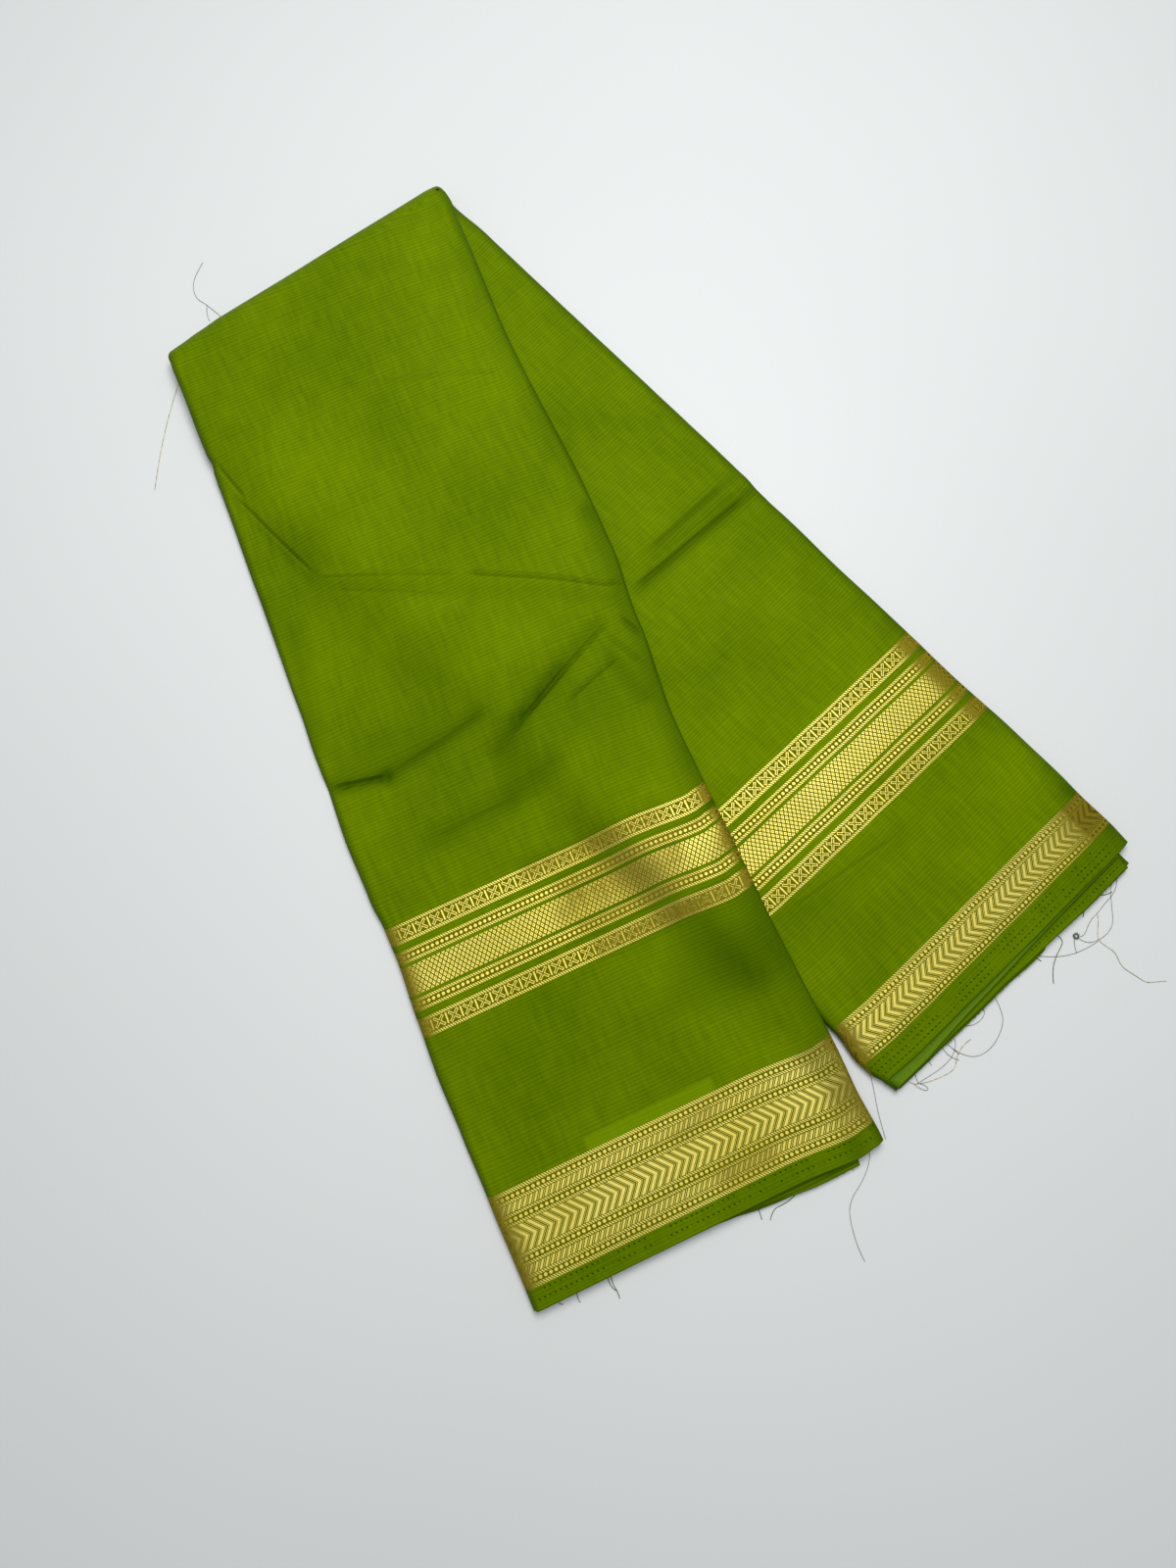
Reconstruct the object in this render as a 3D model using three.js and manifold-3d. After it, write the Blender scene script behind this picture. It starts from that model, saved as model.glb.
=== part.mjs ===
import * as THREE from "three";
import { mergeVertices } from "three/addons/utils/BufferGeometryUtils.js";
import Module from "manifold-3d";

// A saree folded lengthwise into a strip 32 leaves thick, then folded over slantwise and laid flat.
// The front flap lies over the back flap and comes down to the table on its left.
// Millimetres, Z up, origin on the table under the middle of the folded saree.

const wasm = await Module();
wasm.setup();

// Thicknesses and gaps
const WALL = 1.2;
const SEAM = 0.3;
const STACK = 6.6;
const HIDDEN_TOP = STACK - WALL - SEAM;

// Corners of the two flaps, seen from above
const FOLD_LEFT = new THREE.Vector2(-272.85, 211.28);
const FOLD_RIGHT = new THREE.Vector2(-114.75, 322.98);
const FRONT_END_LEFT = new THREE.Vector2(-51.75, -321.62);
const FRONT_END_RIGHT = new THREE.Vector2(129.55, -237.72);
const BACK_END_LEFT = new THREE.Vector2(136.85, -210.82);
const BACK_END_RIGHT = new THREE.Vector2(270.95, -80.62);

// How far each long edge strays outward from a straight line, by the distance from the fold
const FRONT_LEFT_BOW = [
  { fromFold: 0, outward: 0 },
  { fromFold: 58, outward: 0.8 },
  { fromFold: 77, outward: -0.3 },
  { fromFold: 92, outward: 0.9 },
  { fromFold: 158, outward: 2 },
  { fromFold: 235, outward: 3.3 },
  { fromFold: 314, outward: 5.1 },
  { fromFold: 350, outward: 4.1 },
  { fromFold: 385, outward: 1.8 },
  { fromFold: 450, outward: 3.7 },
  { fromFold: 515, outward: 1.7 },
  { fromFold: 577, outward: 0 },
];
const FRONT_RIGHT_BOW = [
  { fromFold: 0, outward: 0 },
  { fromFold: 31, outward: 0.8 },
  { fromFold: 114, outward: -1.8 },
  { fromFold: 220, outward: 2.2 },
  { fromFold: 256, outward: 1.9 },
  { fromFold: 302, outward: -2.1 },
  { fromFold: 365, outward: -7.6 },
  { fromFold: 464, outward: -5.8 },
  { fromFold: 577, outward: -2.4 },
  { fromFold: 611, outward: 0 },
];
const BACK_LEFT_BOW = [
  { fromFold: 0, outward: 0 },
  { fromFold: 480, outward: 0 },
  { fromFold: 550, outward: 4 },
  { fromFold: 589, outward: 0 },
];
const BACK_RIGHT_BOW = [
  { fromFold: 0, outward: 0 },
  { fromFold: 42, outward: 0.1 },
  { fromFold: 250, outward: 1.1 },
  { fromFold: 326, outward: -0.2 },
  { fromFold: 388, outward: 0.4 },
  { fromFold: 427, outward: 0.1 },
  { fromFold: 470, outward: 1.4 },
  { fromFold: 544, outward: 1 },
  { fromFold: 560, outward: 0 },
];

// The largest creases and swells: a line from one place to another, its height and half width
const FRONT_WRINKLES = [
  { x1: -233, y1: 129, x2: -191, y2: 78, height: -1.2, width: 12 },
  { x1: -191, y1: 78, x2: -107, y2: 78, height: -0.8, width: 12 },
  { x1: -206, y1: 164, x2: -61, y2: 203, height: 0.8, width: 16 },
  { x1: -165, y1: 130, x2: -69, y2: 149, height: 0.8, width: 13 },
  { x1: -60, y1: 71, x2: 4, y2: 53, height: 1, width: 12 },
  { x1: -2, y1: 59, x2: 12, y2: 19, height: -1.4, width: 12 },
  { x1: -112, y1: 41, x2: -79, y2: 12, height: -0.8, width: 20 },
  { x1: -142, y1: -60, x2: -88, y2: -77, height: -1.2, width: 18 },
  { x1: -161, y1: -44, x2: -131, y2: -60, height: -1.2, width: 16 },
  { x1: -40, y1: -15, x2: 19, y2: -39, height: 0.8, width: 12 },
];
const BACK_WRINKLES = [
  { x1: 20, y1: 53, x2: 78, y2: 115, height: -1.2, width: 12 },
  { x1: 48, y1: 40, x2: 98, y2: 92, height: 0.8, width: 14 },
];

// The slope of the front flap where it comes down beside the back flap
const SLOPE_WIDTH = 26;
const SLOPE_CLEARANCE = 5;

// The rounded edges of the outer leaf, seen in section: inset from the flap's outline, height
const LEFT_SHOULDER = [
  { inset: 1.6, height: 0.5 },
  { inset: 0.35, height: 1.5 },
  { inset: 0, height: 3 },
  { inset: 0.5, height: 4.7 },
  { inset: 1.9, height: 6 },
];
const RIGHT_LIP = [
  { inset: 1.7, height: 6.15 },
  { inset: 0.4, height: 5.1 },
  { inset: 0, height: 3.9 },
];
const TOP_INSET = 4.2;
const TOP_SPANS = 10;
const NOMINAL_WIDTH = 195;

// The leaves that show under the outer leaf on the right-hand edge of each flap
const RIGHT_LEAVES = [
  { inset: 0.9, height: 3 },
  { inset: 0.2, height: 2.5 },
  { inset: 0.9, height: 1.9 },
  { inset: 0.1, height: 1.3 },
  { inset: 0.9, height: 0.75 },
  { inset: 0.4, height: 0 },
];
const LEFT_FOOT = { inset: 3.4, height: 0 };

// Leaves that show past the outer leaf at the end of each flap: heights, reach past the end, insets
const FRONT_END_LEAVES = [
  { bottom: 0.3, top: 1.6, reachLeft: -1, reachRight: 6.4, insetLeft: 6, insetRight: 16 },
  { bottom: 2.3, top: 3.6, reachLeft: -1.2, reachRight: 5.4, insetLeft: 5, insetRight: 18 },
];
const BACK_END_LEAVES = [
  { bottom: 0.3, top: 1.5, reachLeft: 7, reachRight: 8.5, insetLeft: 4.5, insetRight: 7 },
  { bottom: 2, top: 3.1, reachLeft: 7.6, reachRight: 2.4, insetLeft: 4, insetRight: 7 },
];
const LEAF_ROOT = 8;
const HIDDEN_END = 1.6;

// The fold: how far its round reaches past the flat stretches, and where the outer leaf starts under it
const FOLD_REACH = 8;
const SLOT_REACH = 1;
const WRAP_STEPS = [20, 38, 46, 50, 70, 92, 115, 138, 160];
const WRAP_LEAF_STARTS = 50;
const WRAP_CORE_SHRINKS = { from: 38, to: 46 };
const FOLD_PIECE = 22;

// Colours of the cloth and of the gold thread
const GREEN = 0x688a04;
const GOLD = 0xc3aa52;

// The woven zones of each flap, from its end towards the fold
const FRONT_ZONES = [
  { name: "front_selvedge", to: 11, spans: 1, colour: GREEN },
  { name: "front_border", to: 60.4, spans: 3, colour: GOLD },
  { name: "front_body_lower", to: 149.2, spans: 5, colour: GREEN },
  { name: "front_stripe_band", to: 209.4, spans: 3, colour: GOLD },
  { name: "front_body_upper", to: null, spans: 19, colour: GREEN },
];
const BACK_ZONES = [
  { name: "back_selvedge", to: 13.8, spans: 1, colour: GREEN },
  { name: "back_border", to: 42.1, spans: 2, colour: GOLD },
  { name: "back_body_lower", to: 103.5, spans: 3, colour: GREEN },
  { name: "back_stripe_band", to: 165.8, spans: 3, colour: GOLD },
  { name: "back_body_upper", to: null, spans: 16, colour: GREEN },
];

const mix = THREE.MathUtils.lerp;
const smooth = THREE.MathUtils.smoothstep;

function readTable(table, fromFold) {
  const next = table.findIndex((row) => row.fromFold >= fromFold);
  if (next === -1) return table[table.length - 1].outward;
  if (next === 0) return table[0].outward;
  const before = table[next - 1];
  const after = table[next];
  const share = (fromFold - before.fromFold) / (after.fromFold - before.fromFold);
  return mix(before.outward, after.outward, smooth(share, 0, 1));
}

function wrinkleHeight(wrinkles, x, y) {
  const here = new THREE.Vector3(x, y, 0);
  const nearest = new THREE.Vector3();
  let height = 0;
  for (const row of wrinkles) {
    const line = new THREE.Line3(new THREE.Vector3(row.x1, row.y1, 0), new THREE.Vector3(row.x2, row.y2, 0));
    line.closestPointToPoint(here, true, nearest);
    height += row.height * Math.exp(-((nearest.distanceTo(here) / row.width) ** 2));
  }
  return height;
}

// A flap is a strip between two edges; a place on it is given by its section point and its distance
// from the flap's end. Section points hold an offset in mm, a share of the width and a height.
function makeFlap(endLeft, endRight, leftBow, rightBow, underside, wrinkles) {
  const sides = [
    { end: endLeft, fold: FOLD_LEFT, bow: leftBow, sign: -1 },
    { end: endRight, fold: FOLD_RIGHT, bow: rightBow, sign: 1 },
  ];
  const acrossEnd = endRight.clone().sub(endLeft).normalize();
  for (const side of sides) {
    const along = side.end.clone().sub(side.fold).normalize();
    side.outward = new THREE.Vector2(-along.y, along.x).multiplyScalar(side.sign);
  }
  const length = (share) => {
    const end = endLeft.clone().lerp(endRight, share);
    return FOLD_LEFT.clone().lerp(FOLD_RIGHT, share).distanceTo(end);
  };
  const plan = (offset, share, fromEnd) => {
    const whole = length(share);
    const end = endLeft.clone().lerp(endRight, share);
    const fold = FOLD_LEFT.clone().lerp(FOLD_RIGHT, share);
    const place = end.lerp(fold, fromEnd / whole).addScaledVector(acrossEnd, offset);
    const stray = whole - fromEnd;
    place.addScaledVector(sides[0].outward, readTable(leftBow, stray) * (1 - share));
    place.addScaledVector(sides[1].outward, readTable(rightBow, stray) * share);
    return place;
  };
  const point = (section, fromEnd) => {
    const place = plan(section.offset, section.share, fromEnd);
    const swell = wrinkleHeight(wrinkles, place.x, place.y) * smooth(section.height, 1, 4);
    return new THREE.Vector3(place.x, place.y, underside(place.x, place.y) + section.height + swell);
  };
  return { length, plan, point };
}

const backLeftEdge = BACK_END_LEFT.clone().sub(FOLD_LEFT).normalize();
const intoBack = new THREE.Vector2(-backLeftEdge.y, backLeftEdge.x);

const GRAIN_TURN = THREE.MathUtils.degToRad(12);
const FACE_GRAIN = backLeftEdge.clone().rotateAround(new THREE.Vector2(), GRAIN_TURN);

function frontUnderside(x, y) {
  const inside = new THREE.Vector2(x, y).sub(FOLD_LEFT).dot(intoBack);
  const lift = smooth(inside, -SLOPE_WIDTH - SLOPE_CLEARANCE, -SLOPE_CLEARANCE);
  return lift * (STACK + SEAM + wrinkleHeight(BACK_WRINKLES, x, y));
}

const front = makeFlap(
  FRONT_END_LEFT, FRONT_END_RIGHT, FRONT_LEFT_BOW, FRONT_RIGHT_BOW, frontUnderside, FRONT_WRINKLES,
);
const back = makeFlap(
  BACK_END_LEFT, BACK_END_RIGHT, BACK_LEFT_BOW, BACK_RIGHT_BOW, () => 0, BACK_WRINKLES,
);

const atLeft = (row) => ({ offset: row.inset, share: 0, height: row.height });
const atRight = (row) => ({ offset: -row.inset, share: 1, height: row.height });

function acrossTop(height, spans = TOP_SPANS, insetLeft = TOP_INSET, insetRight = TOP_INSET) {
  return Array.from({ length: spans + 1 }, (_, k) => {
    const share = k / spans;
    return { offset: insetLeft * (1 - share) - insetRight * share, share, height };
  });
}

// Moves a section path inward along its normals
function inward(path, depth) {
  const flat = path.map((p) => new THREE.Vector2(p.offset + p.share * NOMINAL_WIDTH, p.height));
  return path.map((p, k) => {
    const before = flat[Math.max(k - 1, 0)];
    const after = flat[Math.min(k + 1, flat.length - 1)];
    const along = after.clone().sub(before).normalize();
    return { offset: p.offset + along.y * depth, share: p.share, height: p.height - along.x * depth };
  });
}

const outerPath = [...LEFT_SHOULDER.map(atLeft), ...acrossTop(STACK), ...RIGHT_LIP.map(atRight)];
const leafLoop = [...outerPath, ...inward(outerPath, WALL).reverse()];

// The hidden layers' section: both sides, a top and a flat underside
const hiddenPath = inward(outerPath, WALL + SEAM);
const hiddenLeft = [atLeft(LEFT_FOOT), ...hiddenPath.slice(0, LEFT_SHOULDER.length)];
const hiddenRight = [...hiddenPath.slice(-RIGHT_LIP.length), ...RIGHT_LEAVES.map(atRight)];
const hiddenTop = acrossTop(HIDDEN_TOP);
const hiddenFoot = acrossTop(0);
const frontLoop = [...hiddenLeft, ...hiddenTop, ...hiddenRight, ...hiddenFoot.toReversed()];
const backLoop = [
  ...hiddenLeft.toReversed(), ...hiddenFoot, ...hiddenRight.toReversed(), ...hiddenTop.toReversed(),
];

// A section point carried round the fold, from the back flap under the angle 0 to the front at 180
function roundFold(backSection, frontSection, degrees) {
  const shrink = smooth(degrees, WRAP_CORE_SHRINKS.from, WRAP_CORE_SHRINKS.to);
  const section = {
    offset: mix(backSection.offset, frontSection.offset, shrink),
    share: mix(backSection.share, frontSection.share, shrink),
    height: mix(STACK - backSection.height, frontSection.height, shrink),
  };
  const from = back.plan(section.offset, section.share, back.length(section.share) - FOLD_REACH);
  const to = front.point(section, front.length(section.share) - FOLD_REACH);
  const angle = THREE.MathUtils.degToRad(degrees);
  const turned = (1 - Math.cos(angle)) / 2;
  const reach = mix(SLOT_REACH, FOLD_REACH, section.height / STACK) * Math.sin(angle);
  const foldLine = FOLD_RIGHT.clone().sub(FOLD_LEFT).normalize();
  const place = from.lerp(new THREE.Vector2(to.x, to.y), turned);
  place.addScaledVector(new THREE.Vector2(-foldLine.y, foldLine.x), reach);
  return new THREE.Vector3(place.x, place.y, mix(STACK - section.height, to.z, turned));
}

// Distances from a flap's end to each station of a zone, for one share of the width
function zoneStations(flap, from, zone, trim) {
  const reachTo = (share) => zone.to ?? flap.length(share) - (flap === front ? FOLD_PIECE : FOLD_REACH);
  return Array.from({ length: zone.spans + 1 }, (_, k) => (share) => {
    const start = from + (k === 0 ? trim : 0);
    const stop = reachTo(share) - (k === zone.spans ? trim : 0);
    const full = mix(from, reachTo(share), k / zone.spans);
    return THREE.MathUtils.clamp(full, start, stop);
  });
}

// How nearly the line between two points runs, seen from above, the way that faces are divided
function runsWithGrain(a, b) {
  const line = new THREE.Vector2(b.x - a.x, b.y - a.y).normalize();
  return Math.abs(line.dot(FACE_GRAIN));
}

// A closed solid from rings of points: side faces between rings, and a cap at each end.
// Faces that lie over one another are divided the same way, so that they stay parallel.
function solidFromRings(rings, capFaces) {
  const count = rings[0].length;
  const points = rings.flat();
  const positions = points.flatMap((p) => [p.x, p.y, p.z]);
  const index = [];
  for (let ring = 0; ring + 1 < rings.length; ring += 1) {
    for (let k = 0; k < count; k += 1) {
      const here = ring * count + k;
      const next = ring * count + ((k + 1) % count);
      const there = here + count;
      const across = next + count;
      if (runsWithGrain(points[here], points[across]) > runsWithGrain(points[next], points[there])) {
        index.push(here, next, across, here, across, there);
      } else {
        index.push(here, next, there, next, across, there);
      }
    }
  }
  const last = (rings.length - 1) * count;
  for (const [a, b, c] of capFaces) {
    index.push(a, c, b);
    index.push(last + a, last + b, last + c);
  }
  const geometry = new THREE.BufferGeometry();
  geometry.setAttribute("position", new THREE.Float32BufferAttribute(positions, 3));
  geometry.setIndex(index);
  return geometry;
}

// Cap of a ring whose second half runs back along its first half
function pairedCap(count) {
  const faces = [];
  for (let k = 0; k + 1 < count / 2; k += 1) {
    const opposite = count - 1 - k;
    faces.push([k, k + 1, opposite], [k + 1, opposite - 1, opposite]);
  }
  return faces;
}

// Cap of the hidden layers' ring, triangulated in the plane of the section
function sectionCap(loop) {
  const contour = loop.map((p) => new THREE.Vector2(p.offset + p.share * NOMINAL_WIDTH, p.height));
  const faces = THREE.ShapeUtils.triangulateShape(contour, []);
  const [a, b, c] = faces[0].map((k) => contour[k]);
  const clockwise = b.clone().sub(a).cross(c.clone().sub(a)) < 0;
  return clockwise ? faces : faces.map(([first, second, third]) => [first, third, second]);
}

function zoneRings(flap, loop, from, zone, trim) {
  const stations = zoneStations(flap, from, zone, trim);
  return stations.map((station) => loop.map((section) => flap.point(section, station(section.share))));
}

// The outer leaf over the fold, from under its round to the seam with the front flap
function topFoldRings() {
  const steps = WRAP_STEPS.filter((degrees) => degrees >= WRAP_LEAF_STARTS);
  const mirrored = leafLoop.map((section) => ({ ...section, height: STACK - section.height }));
  const round = steps.map((degrees) => leafLoop.map((section, k) => roundFold(mirrored[k], section, degrees)));
  const flat = [FOLD_REACH, (FOLD_REACH + FOLD_PIECE) / 2, FOLD_PIECE - SEAM / 2].map((fromFold) =>
    leafLoop.map((section) => front.point(section, front.length(section.share) - fromFold)));
  return [...round, ...flat].reverse();
}

// Rings of one flap's hidden layers, from its end to the fold, on the same stations as its outer leaf
function hiddenFlapRings(flap, loop, zones) {
  const rings = [];
  let from = 0;
  for (const zone of zones) {
    const stations = zoneRings(flap, loop, from, zone, 0);
    rings.push(...(from === 0 ? stations : stations.slice(1)));
    from = zone.to;
  }
  rings[0] = loop.map((section) => flap.point(section, HIDDEN_END));
  return rings;
}

// One leaf that shows past the outer leaf at a flap's end, rooted in the hidden layers
function endLeaf(flap, leaf) {
  const loop = [
    ...acrossTop(leaf.top, TOP_SPANS, leaf.insetLeft, leaf.insetRight),
    ...acrossTop(leaf.bottom, TOP_SPANS, leaf.insetLeft, leaf.insetRight).reverse(),
  ];
  const tip = loop.map((section) => flap.point(section, -mix(leaf.reachLeft, leaf.reachRight, section.share)));
  const root = loop.map((section) => flap.point(section, LEAF_ROOT));
  return solidFromRings([tip, root], pairedCap(loop.length));
}

function toManifold(geometry) {
  const merged = mergeVertices(geometry);
  return new wasm.Manifold(new wasm.Mesh({
    numProp: 3,
    vertProperties: new Float32Array(merged.getAttribute("position").array),
    triVerts: new Uint32Array(merged.getIndex().array),
  }));
}

function fromManifold(solid) {
  const mesh = solid.getMesh();
  const geometry = new THREE.BufferGeometry();
  geometry.setAttribute("position", new THREE.Float32BufferAttribute(mesh.vertProperties, 3));
  geometry.setIndex(Array.from(mesh.triVerts));
  return geometry;
}

// The hidden layers run from the back flap's end, round the fold, to the front flap's end
function hiddenLayers() {
  const backRings = hiddenFlapRings(back, backLoop, BACK_ZONES);
  const foldRings = WRAP_STEPS.map((degrees) =>
    frontLoop.map((section, k) => roundFold(backLoop[k], section, degrees)));
  const frontRings = hiddenFlapRings(front, frontLoop, FRONT_ZONES);
  const nearFold = [(FOLD_REACH + FOLD_PIECE) / 2, FOLD_REACH].map((fromFold) =>
    frontLoop.map((section) => front.point(section, front.length(section.share) - fromFold)));
  const rings = [...backRings, ...foldRings, ...[...frontRings, ...nearFold].reverse()].reverse();
  let solid = toManifold(solidFromRings(rings, sectionCap(frontLoop)));
  for (const leaf of FRONT_END_LEAVES) {
    solid = solid.add(toManifold(endLeaf(front, leaf)));
  }
  for (const leaf of BACK_END_LEAVES) {
    solid = solid.add(toManifold(endLeaf(back, leaf)));
  }
  return fromManifold(solid);
}

const group = new THREE.Group();

function addPiece(name, geometry, colour) {
  const metalness = colour === GOLD ? 0.4 : 0;
  const roughness = colour === GOLD ? 0.42 : 0.6;
  const material = new THREE.MeshStandardMaterial({ color: colour, roughness, metalness });
  const mesh = new THREE.Mesh(geometry, material);
  mesh.name = name;
  group.add(mesh);
}

function addZones(flap, zones) {
  let from = 0;
  for (const zone of zones) {
    const rings = zoneRings(flap, leafLoop, from, zone, from === 0 ? 0 : SEAM / 2);
    addPiece(zone.name, solidFromRings(rings, pairedCap(leafLoop.length)), zone.colour);
    from = zone.to;
  }
}

addPiece("hidden_layers", hiddenLayers(), GREEN);
addPiece("top_fold", solidFromRings(topFoldRings(), pairedCap(leafLoop.length)), GREEN);
addZones(front, FRONT_ZONES);
addZones(back, BACK_ZONES);

export default group;
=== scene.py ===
import functools
import math
import random

import bpy
import numpy as np
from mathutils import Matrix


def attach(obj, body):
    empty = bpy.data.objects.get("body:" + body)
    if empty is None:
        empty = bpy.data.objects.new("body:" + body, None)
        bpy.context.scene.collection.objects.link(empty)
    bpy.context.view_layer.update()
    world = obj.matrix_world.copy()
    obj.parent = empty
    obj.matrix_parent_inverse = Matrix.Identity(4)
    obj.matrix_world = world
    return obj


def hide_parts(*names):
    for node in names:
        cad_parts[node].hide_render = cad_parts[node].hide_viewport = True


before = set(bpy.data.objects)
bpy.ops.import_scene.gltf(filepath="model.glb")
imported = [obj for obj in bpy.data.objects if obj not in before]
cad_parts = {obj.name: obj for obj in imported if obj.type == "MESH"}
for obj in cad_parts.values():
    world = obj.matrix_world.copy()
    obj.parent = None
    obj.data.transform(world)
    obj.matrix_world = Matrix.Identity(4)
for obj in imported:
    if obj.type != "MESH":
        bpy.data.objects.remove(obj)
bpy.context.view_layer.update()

bl_info = {
    "name": "Folded saree",
    "version": (1, 0, 0),
    "blender": (4, 5, 0),
    "location": "View3D > Sidebar > Saree",
    "description": "A green silk saree with zari borders, folded into a strip, folded over and laid flat",
    "category": "Object",
}

# All shaping is worked out in millimetres and written to the meshes in metres.
MM = 0.001

# Sizes of the folded strip, shared with the solids
STACK = 6.6
SEAM = 0.3
FOLD_REACH = 8.0
SLOT_REACH = 1.0
FLAT_WIDTH = 194.0
FOLD_LEFT = np.array((-272.85, 211.28))
FOLD_RIGHT = np.array((-114.75, 322.98))
FRONT_END_LEFT = np.array((-51.75, -321.62))
FRONT_END_RIGHT = np.array((129.55, -237.72))
BACK_END_LEFT = np.array((136.85, -210.82))
BACK_END_RIGHT = np.array((270.95, -80.62))
SLOPE_WIDTH = ((150, 46.0), (420, 26.0))
SLOPE_CLEARANCE = 5.0

# How far the long edges stray outward: distance from the fold, stray
FRONT_LEFT_BOW = (
    (0, 0), (12, 0.9), (31, 0.5), (58, 0.8), (71, 0.6), (77, -0.5), (84, 0.7), (92, 0.9), (158, 2),
    (235, 3.3), (262, 4.3), (280, 4.1), (314, 5.1), (350, 4.1), (367, 2.3), (385, 1.8), (418, 3.0),
    (450, 3.7), (483, 2.7), (515, 1.7), (577, 0),
)
FRONT_RIGHT_BOW = (
    (0, 0), (15, 1.9), (31, 0.8), (114, -1.8), (220, 2.2), (256, 1.9), (302, -2.1),
    (365, -7.6), (464, -5.8), (577, -2.4), (611, 0),
)
BACK_LEFT_BOW = ((0, 0), (480, 0), (548, 2.4), (566, 5), (574, 4.6), (582, 2.2), (589, 1))
BACK_RIGHT_BOW = (
    (0, 0), (16, -1.4), (42, 0.1), (250, 1.1), (300, 0.2), (326, -0.2), (388, 0.4), (427, 0.1), (470, 1.4),
    (507, 1.3), (526, 0.7), (544, 1.0), (560, 0),
)

# How far the fold bulges past its round: share of the width, bulge
FOLD_BOW = ((0, 0), (0.03, 0.5), (0.1, 1.6), (0.18, 2.4), (0.97, 2.5), (1, 1.6))
# The degrees of the turn over which the back flap's section becomes the front's
FOLD_BLEND = (20, 160)

# Swells shared with the solids: from x, y to x, y, height, half width
FRONT_SWELLS = (
    (-233, 129, -191, 78, -1.2, 12), (-191, 78, -107, 78, -0.8, 12),
    (-206, 164, -61, 203, 0.8, 16), (-165, 130, -69, 149, 0.8, 13),
    (-60, 71, 4, 53, 1, 12), (-2, 59, 12, 19, -1.4, 12),
    (-112, 41, -79, 12, -0.8, 20), (-142, -60, -88, -77, -1.2, 18),
    (-161, -44, -131, -60, -1.2, 16), (-40, -15, 19, -39, 0.8, 12),
)
BACK_SWELLS = ((20, 53, 78, 115, -1.2, 12), (48, 40, 98, 92, 0.8, 14))

# Finer creases: from (across, from the end) to the same, height, half width, some with a sharp line's height
FRONT_CREASES = (
    (7, 474, 34, 411, -0.8, 4.5, -0.6), (34, 411, 111, 376, 0.6, 4.5, 0.5),
    (111, 376, 192, 332, 0.8, 4.5, 0.75), (30, 406, 108, 370, -0.35, 5), (108, 370, 190, 325, -0.45, 5),
    (82, 512, 182, 482, 0.5, 4.5, 0.4), (78, 505, 180, 475, -0.25, 5), (177, 317, 113, 284, -1.0, 5, -0.8),
    (146, 302, 97, 275, -0.7, 5, -0.5), (166, 322, 104, 292, 0.5, 6), (1, 294, 34, 287, -1.2, 5, -1.0),
    (34, 287, 94, 297, -0.8, 6, -0.5), (4, 304, 40, 298, 0.6, 5), (44, 244, 93, 246, -0.8, 7, -0.35),
    (97, 247, 125, 255, -0.7, 6), (52, 256, 110, 262, 0.4, 7), (137, 282, 176, 297, 0.6, 4.5, 0.6),
    (176, 297, 187, 267, -0.7, 5), (182, 318, 193, 296, -0.6, 5, -0.8), (172, 312, 187, 284, 0.5, 5, 0.6),
    (9, 315, 3, 285, -0.6, 5), (12, 387, 2, 318, -0.4, 6), (166, 143, 177, 101, -0.8, 9),
    (105, 104, 183, 105, -0.4, 10), (20, 208, 96, 232, 0.3, 12), (40, 560, 120, 540, 0.3, 14),
    (150, 560, 190, 520, -0.3, 10),
)
BACK_CREASES = (
    (184, 287, 97, 290, -1.0, 5, -0.8), (181, 301, 118, 301, -0.7, 5, -0.6),
    (186, 294, 110, 296, 0.6, 5, 0.4), (189, 266, 139, 259, 0.4, 7), (99, 89, 28, 99, -0.35, 9, -0.3),
    (110, 80, 180, 60, 0.3, 14),
)

# Where the cloth turns away from the light or lies in a hollow: from, to, strength, half width
FRONT_SHADES = (
    (177, 317, 113, 284, 0.45, 3.6), (146, 302, 97, 275, 0.4, 5), (113, 284, 97, 262, 0.3, 9),
    (1, 294, 34, 287, 0.85, 3.6), (34, 287, 94, 297, 0.5, 5), (14, 302, 60, 302, 0.25, 12),
    (44, 244, 93, 246, 0.4, 8), (97, 247, 125, 255, 0.35, 7), (12, 387, 2, 318, 0.4, 6),
    (60, 374, 85, 313, 0.16, 16), (130, 300, 170, 270, 0.14, 16), (100, 440, 180, 400, -0.1, 20),
    (7, 474, 34, 411, 0.3, 3.2), (36, 405, 190, 325, 0.22, 4), (168, 140, 177, 103, 0.3, 9),
    (112, 108, 183, 105, 0.18, 10), (150, 125, 184, 118, 0.38, 19), (192, 150, 192, 60, 0.25, 9),
    (176, 297, 187, 267, 0.45, 5), (98, 177, 164, 176, 0.62, 7), (104, 185, 168, 184, 0.5, 5),
    (88, 206, 166, 204, 0.7, 5.5), (100, 192, 186, 191, 0.5, 4), (108, 153, 184, 152, 0.85, 5.5),
    (104, 166, 172, 165, 0.6, 4), (186, 167, 194, 176, 0.4, 5), (119, 19, 142, 19, 0.55, 6),
    (103, 47, 124, 52, 0.35, 5), (188, 31, 184, -2, 0.5, 6), (8, 141, 60, 100, 0.12, 20),
    (196, 560, 196, 380, 0.3, 7), (196, 380, 197, 200, 0.6, 7), (197, 200, 198, 60, 0.45, 6),
    (150, 270, 190, 225, 0.18, 14),
)
BACK_SHADES = (
    (184, 287, 97, 290, 0.65, 4), (181, 301, 118, 301, 0.4, 4), (99, 89, 28, 99, 0.22, 7),
    (185, 60, 184, 9, 0.5, 6), (189, 266, 139, 259, 0.12, 10), (187, 178, 187, 104, 0.45, 7),
    (184, 40, 187, 20, 0.45, 10), (0, 60, 4, 14, 0.4, 5), (187, 60, 187, 200, 0.3, 5),
    (30, 110, 60, 60, 0.14, 14),
)

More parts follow.
